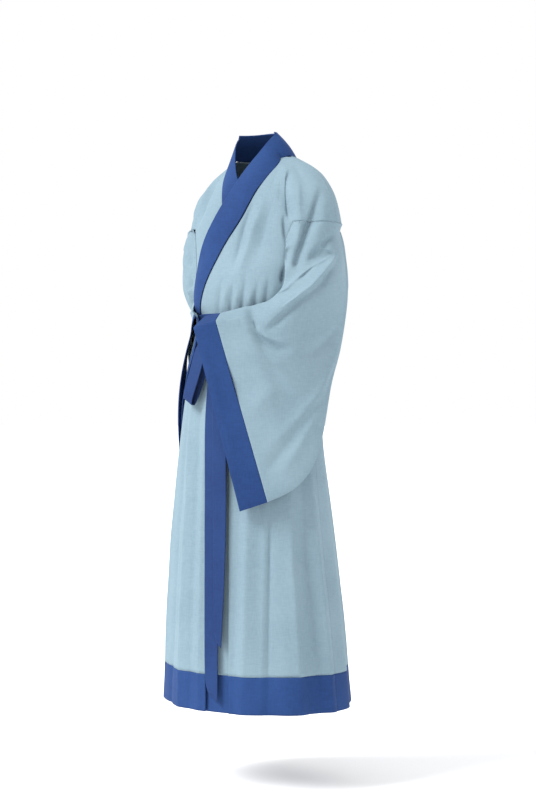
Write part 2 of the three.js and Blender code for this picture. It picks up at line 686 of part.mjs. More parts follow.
function knotShape() {
  const ball = new THREE.SphereGeometry(1, 12, 8);
  ball.deleteAttribute('normal');
  ball.deleteAttribute('uv');
  const shape = mergeVertices(ball, 0.001);
  const centre = trunk(knot.turn, knot.z, knot.lift);
  const along = tangentAt(knot.turn, knot.z, knot.lift);
  const out = new THREE.Vector3(along.y, -along.x, 0);
  const boxy = (value) => Math.sign(value) * Math.abs(value) ** knot.squareness;
  const spots = shape.getAttribute('position');
  for (let k = 0; k < spots.count; k += 1) {
    const at = new THREE.Vector3().fromBufferAttribute(spots, k);
    const place = centre.clone()
      .addScaledVector(along, boxy(at.x) * knot.halfWidth)
      .addScaledVector(out, boxy(at.z) * knot.halfDepth);
    place.z += boxy(at.y) * knot.halfHeight;
    spots.setXYZ(k, place.x, place.y, place.z);
  }
  shape.computeVertexNormals();
  return shape;
}
addPiece('belt_knot', knotShape(), band);

// A ribbon that hangs before the skirt: a row for each place along it, with its slope across at the end.
function addRibbon(name, rows) {
  const across = 2;
  addPiece(name, gridWall(rows.length - 1, across, (i, j) => {
    const { z, turn, lift, width, slope } = rows[i];
    const share = j / across - 0.5;
    const place = trunk(turn, z, lift).addScaledVector(tangentAt(turn, z, lift), share * width);
    place.z += share * slope;
    return place;
  }, clothThick), band);
}

const ribbonTop = knot.z - knot.halfHeight + seamGap / 2;
addRibbon('tail_long', [
  { z: ribbonTop, turn: -2, lift: 12.4, width: 16, slope: 0 },
  { z: -450, turn: -1, lift: 7, width: ribbonWidth, slope: 0 },
  { z: -520, turn: -0.8, lift: 7, width: ribbonWidth, slope: 0 },
  { z: -600, turn: -0.4, lift: 7, width: ribbonWidth, slope: 0 },
  { z: -690, turn: 1.8, lift: 7, width: ribbonWidth, slope: 0 },
  { z: -780, turn: 3.8, lift: 7, width: ribbonWidth, slope: 0 },
  { z: -870, turn: 5.2, lift: 7, width: ribbonWidth, slope: 0 },
  { z: -960, turn: 6.1, lift: 7, width: ribbonWidth, slope: 0 },
  { z: -1060, turn: 6.6, lift: 7, width: ribbonWidth, slope: 0 },
  { z: -1150, turn: 7, lift: 7, width: ribbonWidth, slope: 0 },
  { z: -1242, turn: 7.4, lift: 7, width: 34, slope: -26 },
]);
addRibbon('tail_short', [
  { z: ribbonTop, turn: -2, lift: 16.4, width: 16, slope: 0 },
  { z: -450, turn: 2.5, lift: 15, width: 34, slope: 0 },
  { z: -520, turn: 5.5, lift: 14, width: ribbonWidth, slope: 0 },
  { z: -600, turn: 8.3, lift: 14, width: ribbonWidth, slope: 0 },
  { z: -700, turn: 10.4, lift: 14, width: ribbonWidth, slope: 0 },
  { z: -800, turn: 11.9, lift: 13, width: 36, slope: 0 },
  { z: -900, turn: 12.6, lift: 13, width: 33, slope: 0 },
  { z: -1000, turn: 12.6, lift: 13, width: 28, slope: 0 },
  { z: -1118, turn: 11.9, lift: 13, width: 20, slope: -22 },
]);
addRibbon('bow_loop', [
  { z: ribbonTop, turn: -11, lift: 14, width: 16, slope: 0 },
  { z: -436, turn: -13, lift: 11, width: 36, slope: -6 },
  { z: -471, turn: -12, lift: 12, width: 38, slope: -10 },
  { z: -515, turn: -16, lift: 12, width: 38, slope: -14 },
  { z: -553, turn: -21, lift: 13, width: 38, slope: -16 },
  { z: -559, turn: -21.5, lift: 16, width: 38, slope: -16 },
  { z: -559, turn: -21.5, lift: 22, width: 38, slope: -16 },
  { z: -553, turn: -21, lift: 25, width: 38, slope: -16 },
  { z: -515, turn: -16, lift: 28, width: 38, slope: -14 },
  { z: -471, turn: -12, lift: 28, width: 38, slope: -10 },
  { z: -436, turn: -13, lift: 26, width: 36, slope: -6 },
  { z: ribbonTop, turn: -11, lift: 20, width: 16, slope: 0 },
]);

export default robe;
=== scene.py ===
from math import cos, pi, radians, sin

import bmesh
import bpy
import numpy as np
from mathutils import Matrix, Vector, noise
from mathutils.bvhtree import BVHTree


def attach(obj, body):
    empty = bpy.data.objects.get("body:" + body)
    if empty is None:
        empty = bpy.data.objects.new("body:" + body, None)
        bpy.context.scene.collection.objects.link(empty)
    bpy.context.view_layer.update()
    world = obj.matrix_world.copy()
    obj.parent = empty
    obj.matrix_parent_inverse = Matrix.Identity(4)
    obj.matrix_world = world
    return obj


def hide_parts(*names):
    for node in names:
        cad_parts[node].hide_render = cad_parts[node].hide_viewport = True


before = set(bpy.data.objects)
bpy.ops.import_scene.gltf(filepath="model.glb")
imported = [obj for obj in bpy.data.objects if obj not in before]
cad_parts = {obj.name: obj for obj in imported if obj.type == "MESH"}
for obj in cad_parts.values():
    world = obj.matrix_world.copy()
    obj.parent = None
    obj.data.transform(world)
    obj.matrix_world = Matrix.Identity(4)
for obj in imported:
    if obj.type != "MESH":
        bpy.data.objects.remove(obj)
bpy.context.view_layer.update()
scene = bpy.context.scene
scene.view_settings.view_transform = "Standard"

MM = 0.001

# Colours, shader nodes and the woven cloth that every material of the robe starts from.


def linear(hex_colour):
    channels = [int(hex_colour[k:k + 2], 16) / 255 for k in (0, 2, 4)]
    bright = [c / 12.92 if c <= 0.04045 else ((c + 0.055) / 1.055) ** 2.4 for c in channels]
    return (*bright, 1.0)


def add_node(tree, kind, links=(), **settings):
    node = tree.nodes.new(kind)
    for name, value in settings.items():
        if name.startswith("in_"):
            key = name[3:]
            node.inputs[int(key) if key.isdigit() else key.replace("_", " ")].default_value = value
        else:
            setattr(node, name, value)
    for socket, source in links:
        tree.links.new(source, node.inputs[socket])
    return node


THREAD = 1.3 * MM           # twice the real spacing, so that it shows at all
THREAD_GRAIN = 0.45         # noise cells across one thread
SLUB_SCALE = 60.0           # noise cells in a metre along a thread, so a slub is about 17 mm long
FADING_SCALE = 7.0          # noise cells in a metre of the faintly faded patches
THREAD_RELIEF = 0.5 * MM


def weave(name, base, shade, light, thread=THREAD, sheen=0.25, rough=0.86, relief=0.35):
    material = bpy.data.materials.new(name)
    material.use_nodes = True
    tree = material.node_tree
    shader = tree.nodes["Principled BSDF"]
    shader.inputs["Roughness"].default_value = rough
    shader.inputs["Specular IOR Level"].default_value = 0.25
    shader.inputs["Sheen Weight"].default_value = sheen
    shader.inputs["Sheen Roughness"].default_value = 0.45
    shader.inputs["Sheen Tint"].default_value = linear(light)
    place = add_node(tree, "ShaderNodeTexCoord").outputs["Object"]
    along = add_node(tree, "ShaderNodeMapping", [("Vector", place)],
                     in_Scale=(SLUB_SCALE, SLUB_SCALE, THREAD_GRAIN / thread))
    upright = add_node(tree, "ShaderNodeMapping", [("Vector", place)],
                       in_Scale=(THREAD_GRAIN / thread, THREAD_GRAIN / thread, SLUB_SCALE))
    weft = add_node(tree, "ShaderNodeTexNoise", [("Vector", along.outputs[0])],
                    in_Scale=1.0, in_Detail=1.0)
    warp = add_node(tree, "ShaderNodeTexNoise", [("Vector", upright.outputs[0])],
                    in_Scale=1.0, in_Detail=1.0)
    threads = add_node(tree, "ShaderNodeMix",
                       [(2, weft.outputs["Fac"]), (3, warp.outputs["Fac"])],
                       data_type="FLOAT", in_0=0.5)
    cloudy = add_node(tree, "ShaderNodeTexNoise", [("Vector", place)],
                      in_Scale=FADING_SCALE, in_Detail=3.0)
    slub = add_node(tree, "ShaderNodeMapRange", [("Value", threads.outputs[0])])
    slub.inputs["From Min"].default_value = 0.3
    slub.inputs["From Max"].default_value = 0.7
    dyed = add_node(tree, "ShaderNodeMix", [(0, slub.outputs[0])], data_type="RGBA",
                    in_6=linear(shade), in_7=linear(base))
    patchy = add_node(tree, "ShaderNodeMapRange", [("Value", cloudy.outputs["Fac"])])
    patchy.inputs["From Min"].default_value = 0.35
    patchy.inputs["From Max"].default_value = 0.75
    patchy.inputs["To Max"].default_value = 0.3
    worn = add_node(tree, "ShaderNodeMix",
                    [(0, patchy.outputs[0]), (6, dyed.outputs[2])], data_type="RGBA",
                    in_7=linear(light))
    bump = add_node(tree, "ShaderNodeBump", [("Height", threads.outputs[0])],
                    in_Strength=relief, in_Distance=THREAD_RELIEF)
    tree.links.new(worn.outputs[2], shader.inputs["Base Color"])
    tree.links.new(bump.outputs[0], shader.inputs["Normal"])
    return material


# Plain-weave cloth for the robe's body: polyester spun to look like cotton, dyed a light grey-blue.
# It is matt, with a faint bloom at its turned edges and slubs that run along the threads.
robe_cloth = weave("light_blue_plain_weave", "798f9b", "6f8591", "8ca1ac")

# Each panel of cloth is cut from its node, smoothed, and then pressed into its folds.
CHEST_MIDDLE = np.array([0.0, -0.025, -0.10])
UPWARD = 0.9          # how far the folds over the shoulders turn upwards


def away_from_figure(points):
    """Out of the robe: level on the trunk and the skirt, and turning upwards over the shoulders."""
    ways = points - CHEST_MIDDLE
    ways[:, 2] = np.clip(ways[:, 2], 0.0, None) * UPWARD
    return ways / np.linalg.norm(ways, axis=1, keepdims=True)


def along_line(points, line):
    """Distance of each point from a line of places, and how far along the line it lies, 0 to 1."""
    line = np.array(line, float) * MM
    reach = np.full(len(points), 1e9)
    share = np.zeros(len(points))
    lengths = np.linalg.norm(np.diff(line, axis=0), axis=1)
    walked = np.concatenate([[0.0], np.cumsum(lengths)]) / lengths.sum()
    for k, start in enumerate(line[:-1]):
        step = line[k + 1] - start
        t = np.clip(((points - start) @ step) / (step @ step), 0, 1)
        gap = np.linalg.norm(points - (start + t[:, None] * step), axis=1)
        near = gap < reach
        reach[near] = gap[near]
        share[near] = (walked[k] + t * (walked[k + 1] - walked[k]))[near]
    return reach, share


DRAPE = 1.6           # how much deeper the creases lie than their noted heights
BELL_POWER = 1.6      # shape of a fold across its line: 2 is a round bell, 1 a sharp ridge
SOFT_ENDS = (0.35, 0.35)
BELT_MIDDLE, BELT_HOLD, BELT_FREE = -374 * MM, 26 * MM, 56 * MM
HEM_CALM, HEM_FROM, HEM_OVER = 0.5, -1140 * MM, 90 * MM    # the doubled hem lies calmer
SLACK_SIZE = 0.11     # metres between two soft swells of the slack cloth


def fold_height(points, folds):
    """Sum of the folds: each has a line in millimetres, a half width, a height and its soft ends."""
    height = np.zeros(len(points))
    for line, wide, tall, *ends in folds:
        reach, share = along_line(points, line)
        bell = np.exp(-(reach / (wide * MM)) ** BELL_POWER)
        fade_in, fade_out = ends if ends else SOFT_ENDS
        soft = np.ones(len(points))
        if fade_in:
            soft *= np.clip(share / fade_in, 0, 1)
        if fade_out:
            soft *= np.clip((1 - share) / fade_out, 0, 1)
        height += DRAPE * tall * MM * bell * soft * soft * (3 - 2 * soft)
    from_belt = np.abs(points[:, 2] - BELT_MIDDLE)
    free = np.clip((from_belt - BELT_HOLD) / (BELT_FREE - BELT_HOLD), 0, 1)
    height = np.where(height > 0, height * free, height)
    return height * (1 - HEM_CALM * np.clip((HEM_FROM - points[:, 2]) / HEM_OVER, 0, 1))


def slackness(points, amount):
    return np.array([amount * MM * noise.noise(Vector(p) / SLACK_SIZE) for p in points])


FINER_LEVELS = 3
FLAT_ENOUGH, SQUARE_ENOUGH = radians(35), radians(75)      # two triangles within these make one cell
SHARP_EDGE = radians(50)                                   # an edge sharper than this stays crisp


def cut_piece(name):
    """A copy of the node's own mesh, merged, made of four-sided cells and made finer."""
    shell = bmesh.new()
    shell.from_mesh(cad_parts[name].data)
    bmesh.ops.remove_doubles(shell, verts=shell.verts, dist=0.01 * MM)
    bmesh.ops.join_triangles(shell, faces=shell.faces, angle_face_threshold=FLAT_ENOUGH,
                             angle_shape_threshold=SQUARE_ENOUGH)
    creases = shell.edges.layers.float.new("crease_edge")
    for edge in shell.edges:
        if edge.calc_face_angle(0) > SHARP_EDGE:
            edge[creases] = 1.0
    mesh = bpy.data.meshes.new(name + "_cut")
    shell.to_mesh(mesh)
    shell.free()
    piece = bpy.data.objects.new(name + "_cloth", mesh)
    scene.collection.objects.link(piece)
    finer = piece.modifiers.new("finer", "SUBSURF")
    finer.levels = finer.render_levels = FINER_LEVELS
    seen = piece.evaluated_get(bpy.context.evaluated_depsgraph_get())
    piece.data = bpy.data.meshes.new_from_object(seen)
    piece.modifiers.clear()
    return piece


def press(piece, folds, slack, ways=away_from_figure):
    """Moves both faces of the cloth together, so that it keeps its thickness."""
    mesh = piece.data
    flat = np.empty(len(mesh.vertices) * 3)
    mesh.vertices.foreach_get("co", flat)
    points = flat.reshape(-1, 3)
    height = fold_height(points, folds) + slackness(points, slack)
    moved = points + ways(points) * height[:, None]
    mesh.vertices.foreach_set("co", moved.ravel())
    mesh.polygons.foreach_set("use_smooth", [True] * len(mesh.polygons))
    mesh.update()


def surface_of(piece):
    mesh = piece.data
    return BVHTree.FromPolygons([v.co for v in mesh.vertices], [p.vertices for p in mesh.polygons])


SEWN_WITHIN = 2.2 * MM      # an edge nearer to its neighbour than this is sewn to it
SEWN_GAP = 0.1 * MM
SIDEWAYS = 0.5              # an edge moves along the cloth, never more than this share out of it


def close_seam(piece, neighbours, ways=away_from_figure):
    """Draws the edge of a piece sideways against the pieces that it is sewn to, as thread does."""
    points = np.array([v.co for v in piece.data.vertices])
    out = ways(points)
    for other in neighbours:
        surface = surface_of(other)
        for vertex, way in zip(piece.data.vertices, out):
            place, _, _, gap = surface.find_nearest(vertex.co, SEWN_WITHIN)
            if place is None or gap < SEWN_GAP:
                continue
            if abs((place - vertex.co).normalized().dot(Vector(way))) < SIDEWAYS:
                vertex.co = vertex.co.lerp(place, 1 - SEWN_GAP / gap)
    piece.data.update()


HEM_SEAM_Z, HEM_TALL = -1180, 92      # mm: folds that reach this low run on through the hem


def carried_down(folds):
    """The folds that reach the hem band run on through it, down to the robe's lower edge."""
    longer = []
    for line, *rest in folds:
        before, last = np.array(line[-2], float), np.array(line[-1], float)
        if last[2] < HEM_SEAM_Z:
            step = (last - before) / (before[2] - last[2])
            line = line + [tuple(last + step * HEM_TALL)]
        longer.append((line, *rest))
    return longer


def take_place(piece, node, material):
    """The finished piece takes the place of its node."""
    piece.data.materials.clear()
    piece.data.materials.append(material)
    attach(piece, "root")
    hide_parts(node)


def sew(node, folds, slack, material,
        ways=away_from_figure):
    piece = cut_piece(node)
    press(piece, folds, slack, ways)
    take_place(piece, node, material)
    return piece


# Every fold is a line of places in millimetres, a half width, a height, and the shares of its length
# over which it starts and ends. A trough has a height below zero.

# The left front crosses over the chest to the right waist and hangs to the hem beside the slit.
# Its chest folds also show in the layers under and over it, so those are pressed into them too.
CHEST_FOLDS = [
    ([(64, -97, -66), (55, -109, -102), (38, -121, -160), (27, -128, -205), (22, -140, -262)], 9, -4.5),
    ([(82, -92, -62), (76, -108, -115), (60, -118, -170), (47, -131, -235), (40, -147, -300)], 15, 5.0),
    ([(108, -82, -70), (104, -100, -120), (92, -112, -176), (78, -126, -240)], 14, -3.0),
    ([(-6, -140, -262), (-9, -154, -311), (-14, -154, -345)], 8, -2.6, 0.6, 0.0),
    ([(10, -146, -272), (10, -154, -311), (8, -152, -346)], 8, 2.2, 0.6, 0.0),
    ([(30, -146, -262), (28, -153, -321), (23, -150, -346)], 7, -2.8, 0.6, 0.0),
    ([(46, -146, -280), (44, -150, -321), (40, -147, -346)], 8, 2.2, 0.6, 0.0),
    ([(64, -140, -250), (61, -148, -320), (55, -144, -346)], 7, -3.0, 0.6, 0.0),
    ([(80, -138, -285), (77, -142, -320), (72, -139, -346)], 8, 2.2, 0.6, 0.0),
    ([(95, -130, -262), (92, -137, -314), (89, -134, -346)], 7, -2.6, 0.6, 0.0),
    ([(116, -118, -252), (116, -124, -300), (110, -124, -346)], 8, -2.6, 0.6, 0.0),
]
# These run on over the dropped seam, so the left sleeve is pressed into them too.
ARM_FOLDS = [
    ([(113, -35, -7), (128, -64, -39), (134, -74, -64), (140, -78, -88), (145, -81, -112),
      (154, -84, -141)], 6, -6.5, 0.25, 0.15),
    ([(136, -88, -117), (142, -92, -141), (144, -91, -164), (154, -96, -196)], 6, -5.5, 0.4, 0.1),
    ([(155, -96, -200), (154, -102, -235), (143, -97, -265), (142, -102, -291)], 6, -5.0, 0.1, 0.2),
    ([(189, -9, -51), (200, -37, -89), (198, -49, -123), (194, -63, -151), (191, -78, -180),
      (183, -83, -208), (178, -89, -236), (177, -95, -259)], 9, -9.0, 0.3, 0.1),
    ([(135, -35, -18), (155, -63, -65), (164, -74, -108), (173, -81, -151), (172, -88, -189),
      (166, -95, -226)], 11, 4.5, 0.3, 0.3),
    ([(222, -5, -170), (223, -44, -191), (211, -62, -213), (196, -73, -238)], 7, -5.0, 0.2, 0.2),
    ([(99, -13, 15), (139, -30, -22), (172, -40, -60)], 10, -2.5),
]
SKIRT_FRONT_FOLDS = [
    ([(104, -180, -700), (107, -194, -970), (106, -203, -1190)], 14, 3.0, 0.4, 0.0),
    ([(84, -178, -640), (86, -198, -900), (84, -208, -1190)], 12, -2.5, 0.4, 0.0),
    ([(170, -112, -640), (188, -122, -924), (208, -118, -1190)], 13, 4.5, 0.5, 0.0),
    ([(180, -85, -660), (198, -87, -926), (226, -71, -1190)], 12, -5.0, 0.5, 0.0),
    ([(186, -62, -640), (206, -56, -900), (232, -42, -1190)], 11, 6.0, 0.4, 0.0),
    ([(147, -149, -640), (150, -156, -924), (152, -164, -1190)], 3.5, -2.6, 0.2, 0.0),
    ([(136, -156, -640), (139, -165, -924), (140, -174, -1190)], 9, 2.0, 0.4, 0.0),
    ([(121, -122, -402), (130, -138, -460), (133, -146, -540)], 9, -4.0, 0.0, 0.6),
    ([(60, -140, -402), (66, -158, -470), (68, -170, -560)], 8, -3.5, 0.0, 0.6),
    ([(90, -130, -402), (98, -148, -460), (100, -160, -560)], 9, 3.0, 0.0, 0.6),
]
front_left = sew(
    "front_left", CHEST_FOLDS + ARM_FOLDS + carried_down(SKIRT_FRONT_FOLDS), slack=1.6,
    material=robe_cloth)

# The right front lies under the left one, and its skirt shows as the dark layer in the slit.
# Its sleeve side creases from the neck to the crook of the right arm.


def mirrored(folds):
    return [([(-x, y, z) for x, y, z in line], *rest) for line, *rest in folds]


RIGHT_CHEST_FOLDS = [
    ([(-96, -50, -10), (-112, -66, -45), (-124, -80, -90), (-131, -90, -138)], 9, -5.0),
    ([(-118, -46, -14), (-134, -71, -69), (-141, -78, -110), (-140, -84, -150)], 8, 4.0),
    ([(-140, -40, -28), (-152, -60, -72), (-156, -72, -111), (-152, -82, -150)], 8, -5.5),
    ([(-160, -34, -40), (-172, -50, -80), (-174, -62, -120)], 9, 3.5),
    ([(-180, -26, -55), (-188, -44, -104), (-188, -60, -138)], 8, -4.0),
    ([(-140, -100, -230), (-146, -110, -290), (-140, -100, -345)], 9, -4.0, 0.5, 0.0),
]
# These hang in the skirt's bare layer, and so in the right front, the overlap and their hems.
OVERLAP_FOLDS = [
    ([(-95, -124, -402), (-110, -150, -560), (-121, -165, -780), (-132, -172, -1000), (-140, -176, -1195)],
     13, -4.0, 0.5, 0.0),
    ([(-75, -134, -402), (-88, -166, -604), (-77, -191, -793), (-77, -205, -981), (-83, -209, -1195)],
     11, 3.5, 0.4, 0.0),
    ([(-53, -142, -402), (-55, -173, -556), (-48, -190, -697), (-42, -206, -884), (-45, -215, -1195)],
     12, -3.5, 0.4, 0.0),
    ([(-20, -150, -402), (-24, -178, -560), (-18, -200, -780), (-14, -214, -1000), (-14, -220, -1195)],
     10, 3.0, 0.4, 0.0),
    ([(-134, -90, -402), (-156, -111, -560), (-174, -123, -780), (-194, -127, -1000), (-208, -127, -1195)],
     14, 4.0, 0.5, 0.0),
    ([(-40, -146, -402), (-44, -164, -460), (-50, -172, -530)], 8, -3.5, 0.0, 0.6),
    ([(-112, -108, -402), (-122, -122, -450), (-126, -132, -520)], 8, -4.0, 0.0, 0.6),
]
front_right = sew(
    "front_right", RIGHT_CHEST_FOLDS + CHEST_FOLDS + carried_down(OVERLAP_FOLDS), slack=1.6,
    material=robe_cloth)

# The two halves of the back are sewn down the middle and hang from the shoulders in soft columns.
# Gathers spread up and down from the belt, and creases run over each shoulder blade.
BACK_FOLDS = [
    ([(134, 26, -404), (155, 27, -560), (169, 35, -780), (184, 53, -1000), (196, 67, -1195)],
     12, -5.0, 0.5, 0.0),
    ([(99, 57, -404), (116, 64, -560), (130, 81, -780), (145, 110, -1000), (155, 129, -1195)],
     14, 5.0, 0.5, 0.0),
    ([(58, 76, -404), (67, 85, -560), (73, 101, -780), (80, 128, -1000), (85, 148, -1195)],
     12, -4.5, 0.4, 0.0),
    ([(26, 82, -404), (30, 95, -560), (32, 116, -780), (36, 148, -1000), (38, 168, -1195)],
     11, 3.5, 0.5, 0.0),
    ([(155, 5, -350), (164, 15, -300), (163, 25, -240)], 9, -4.0, 0.0, 0.6),
    ([(133, 43, -350), (142, 54, -300), (145, 62, -230)], 9, 4.0, 0.0, 0.6),
    ([(112, 60, -350), (120, 72, -300), (124, 78, -215)], 8, -4.5, 0.0, 0.6),
    ([(88, 75, -350), (97, 85, -300), (102, 91, -240)], 9, 3.5, 0.0, 0.6),
    ([(66, 83, -350), (72, 93, -290), (78, 98, -200)], 8, -4.0, 0.0, 0.6),
    ([(30, 91, -350), (34, 101, -300), (36, 106, -250)], 8, 3.0, 0.0, 0.6),
    ([(152, -12, -400), (164, -13, -440), (172, -16, -500)], 8, -3.5, 0.0, 0.6),
    ([(116, 45, -400), (124, 48, -440), (134, 50, -520)], 8, -4.0, 0.0, 0.6),
    ([(78, 70, -400), (84, 75, -440), (90, 78, -520)], 8, -3.5, 0.0, 0.6),
    ([(135, 52, -10), (162, 55, -50), (171, 58, -95), (180, 60, -138)], 9, -4.5, 0.3, 0.1),
    ([(88, 75, 0), (122, 84, -50), (142, 86, -100), (158, 81, -138)], 10, 4.0),
    ([(59, 78, 10), (113, 86, -60), (148, 86, -130), (148, 76, -200)], 11, -4.0),
    ([(40, 84, -40), (70, 98, -110), (96, 102, -180)], 16, -2.5),
]
back_left = sew(
    "back_left", carried_down(BACK_FOLDS), slack=1.6,
    material=robe_cloth)
back_right = sew(
    "back_right", mirrored(carried_down(BACK_FOLDS)), slack=1.6,
    material=robe_cloth)

# The skirt panel that the left front carries round to the right hip. Its free edge is stitched, but no
# stitches are added to it here.
overlap = sew(
    "overlap_panel", carried_down(OVERLAP_FOLDS), slack=1.2,
    material=robe_cloth)

# The left sleeve hangs from the forearm as a wide flat bag, with its cuff band at the open end.
# Its top turns over the arm, and the slack under the elbow falls in long curves.
SLEEVE_TURN, SLEEVE_TURN_AT = 42, -0.15      # degrees that the face looks to the side, this far forward
TURN_PER_METRE = 260
LEAST_TURN, MOST_TURN = 40, 85


def out_of_left_sleeve(points):
    turn = np.radians(np.clip(SLEEVE_TURN + (points[:, 1] - SLEEVE_TURN_AT) * TURN_PER_METRE,
                              LEAST_TURN, MOST_TURN))
    return np.stack([np.sin(turn), -np.cos(turn), np.zeros(len(points))], axis=1)


LEFT_SLEEVE_FOLDS = [
    ([(232, -6, -208), (234, -58, -253), (225, -98, -292), (198, -139, -329), (164, -173, -368),
      (136, -196, -393)], 7, 5.5, 0.15, 0.2),
    ([(233, -11, -208), (221, -45, -228), (188, -93, -267), (172, -125, -298), (139, -146, -327)],
     6, 3.5, 0.2, 0.3),
    ([(240, -20, -230), (236, -68, -285), (212, -118, -322), (180, -160, -372), (152, -184, -408)],
     10, -5.5, 0.2, 0.2),
    ([(107, -189, -351), (124, -200, -373), (137, -194, -393), (153, -181, -409), (176, -162, -420),
      (200, -132, -427)], 7, 4.0, 0.1, 0.4),
    ([(120, -182, -372), (134, -190, -398), (152, -178, -420), (178, -156, -436), (204, -124, -440)],
     10, -7.0, 0.15, 0.4),
    ([(200, -132, -427), (221, -75, -410), (228, -17, -369), (227, 19, -321)], 13, 4.0, 0.5, 0.3),
    ([(190, -140, -462), (218, -86, -448), (230, -30, -410), (230, 10, -370)], 16, -5.0, 0.4, 0.3),
    ([(224, 16, -388), (232, -16, -465), (233, -82, -542), (209, -136, -606), (171, -177, -663),
      (146, -198, -691)], 14, 4.5, 0.2, 0.5),
    ([(226, 10, -430), (234, -40, -520), (224, -110, -598), (190, -158, -655)], 14, -4.0, 0.3, 0.5),
    ([(234, -40, -500), (234, -100, -600), (211, -137, -673), (181, -167, -738)], 13, 3.5),
    ([(80, -243, -396), (119, -217, -439), (167, -172, -467), (210, -120, -474)], 18, 3.0),
    ([(60, -250, -470), (104, -228, -520), (150, -196, -560)], 24, -3.0),
    ([(134, -208, -602), (156, -191, -556), (186, -156, -510)], 22, 3.0),
    ([(155, -190, -739), (186, -163, -682), (216, -128, -613)], 16, -3.0),
    ([(214, -51, -235), (201, -80, -260), (192, -108, -288)], 6, -4.0),
    ([(230, -31, -184), (220, -51, -213), (205, -69, -236)], 6, -3.5),
    ([(209, -119, -308), (195, -138, -327), (172, -160, -347)], 5, -3.0),
    ([(162, -69, -183), (156, -76, -220), (153, -83, -248)], 8, -4.0),
    ([(186, -66, -150), (184, -70, -185), (176, -84, -222)], 7, -4.0, 0.0, 0.5),
]
sleeve_left = sew(
    "sleeve_left", LEFT_SLEEVE_FOLDS + ARM_FOLDS, slack=1.5,
    material=robe_cloth,
    ways=out_of_left_sleeve)

# The right sleeve is drawn back round the hip; its forearm side creases at the crook of the elbow.
LEVEL = np.array([1.0, 1.0, 0.0])
HIP_MIDDLE = np.array([0.0, -0.02, 0.0])


def out_of_right_sleeve(points):
    level = points * LEVEL - HIP_MIDDLE
    return level / np.linalg.norm(level, axis=1, keepdims=True)


RIGHT_SLEEVE_FOLDS = [
    ([(-171, -85, -172), (-158, -97, -203), (-163, -80, -230)], 6, -5.0, 0.2, 0.2),
    ([(-186, -83, -160), (-189, -84, -203), (-178, -82, -245)], 8, -4.5, 0.1, 0.4),
    ([(-200, -60, -155), (-204, -62, -210), (-196, -70, -262)], 9, 3.5, 0.1, 0.4),
    ([(-180, -99, -262), (-174, -92, -275), (-186, -60, -285), (-210, -20, -296)], 7, -5.0, 0.0, 0.5),
    ([(-176, -102, -285), (-176, -80, -300), (-196, -40, -314), (-220, 0, -330)], 7, 4.0, 0.0, 0.5),
    ([(-158, -106, -305), (-170, -80, -322), (-196, -40, -350), (-222, 6, -390)], 9, -5.0, 0.0, 0.5),
    ([(-160, -110, -360), (-190, -60, -400), (-214, 0, -470), (-226, 40, -540)], 15, 4.0),
    ([(-150, -120, -420), (-184, -70, -480), (-208, -10, -570), (-222, 30, -640)], 15, -4.5),
    ([(-150, -130, -520), (-180, -80, -600), (-204, -20, -690)], 16, 3.5),
    ([(-226, 60, -250), (-230, 62, -340), (-234, 74, -430)], 14, 3.5),
    ([(-216, 80, -260), (-222, 86, -360), (-228, 84, -450)], 12, -4.0),
]
sleeve_right = sew(
    "sleeve_right", RIGHT_SLEEVE_FOLDS, slack=1.4,
    material=robe_cloth,
    ways=out_of_right_sleeve)

FRONT_SOFT = 25             # mm over which the drawing in fades out at the edges of its stretch
LEAST_LEFT = 0.6            # mm that stay between a drawn vertex and the cloth beside it


def lay_against(piece, other, stands_off, fades_at, front, top, foot):
    """Lays the front edge of a hanging sleeve on the cloth beside it, and draws the rest along."""
    surface = surface_of(other)
    for vertex in piece.data.vertices:
        x, y, z = (c / MM for c in vertex.co)
        share = (min(max((top - z) / FRONT_SOFT, 0), 1) * min(max((z - foot) / FRONT_SOFT, 0), 1)
                 * min(max((front - y) / FRONT_SOFT, 0), 1))
        if share == 0:
            continue
        place, _, _, gap = surface.find_nearest(vertex.co, fades_at * MM)
        if place is None:
            continue
        wanted = max(LEAST_LEFT, fades_at * (gap / MM - stands_off) / (fades_at - stands_off))
        drawn = place.lerp(vertex.co, min(1.0, wanted * MM / gap))
        vertex.co = vertex.co.lerp(drawn, share)
    piece.data.update()


lay_against(sleeve_right, front_right, stands_off=20, fades_at=60, front=-40, top=-128, foot=-345)
close_seam(sleeve_left, [front_left, back_left])
close_seam(sleeve_right, [front_right, back_right])
close_seam(back_left, [front_left])
close_seam(back_right, [back_left, front_right])

# Collar, cuffs and hem are doubled bands of the same weave dyed deep blue, sewn on edge to edge.
# Each band lies a little stiffer and smoother than the body cloth.
band_cloth = weave("deep_blue_plain_weave", "1d3a6e", "18325f", "2c4f86", sheen=0.15, relief=0.3)

COLLAR_FOLDS = [
    ([(40, -75, -40), (10, -100, -95), (-25, -118, -150), (-60, -128, -205)], 12, -1.5),
    ([(20, -66, 40), (0, -84, 5), (-20, -98, -40)], 10, 1.5),
]
collar = sew(
    "collar_band", COLLAR_FOLDS + CHEST_FOLDS, slack=1.6,
    material=band_cloth)
close_seam(collar, [front_left, front_right, back_left, back_right])

CUFF_FOLDS = [
    ([(36, -270, -418), (60, -256, -510), (88, -238, -625), (114, -220, -739)], 14, 1.5),
    ([(10, -262, -420), (36, -258, -520), (60, -244, -620)], 12, -1.5),
]
cuff_left = sew(
    "cuff_left", CUFF_FOLDS, slack=1.2, material=band_cloth,
    ways=out_of_left_sleeve)
cuff_right = sew(
    "cuff_right", [], slack=1.0, material=band_cloth,
    ways=out_of_right_sleeve)
close_seam(cuff_left, [sleeve_left], out_of_left_sleeve)
close_seam(cuff_right, [sleeve_right], out_of_right_sleeve)

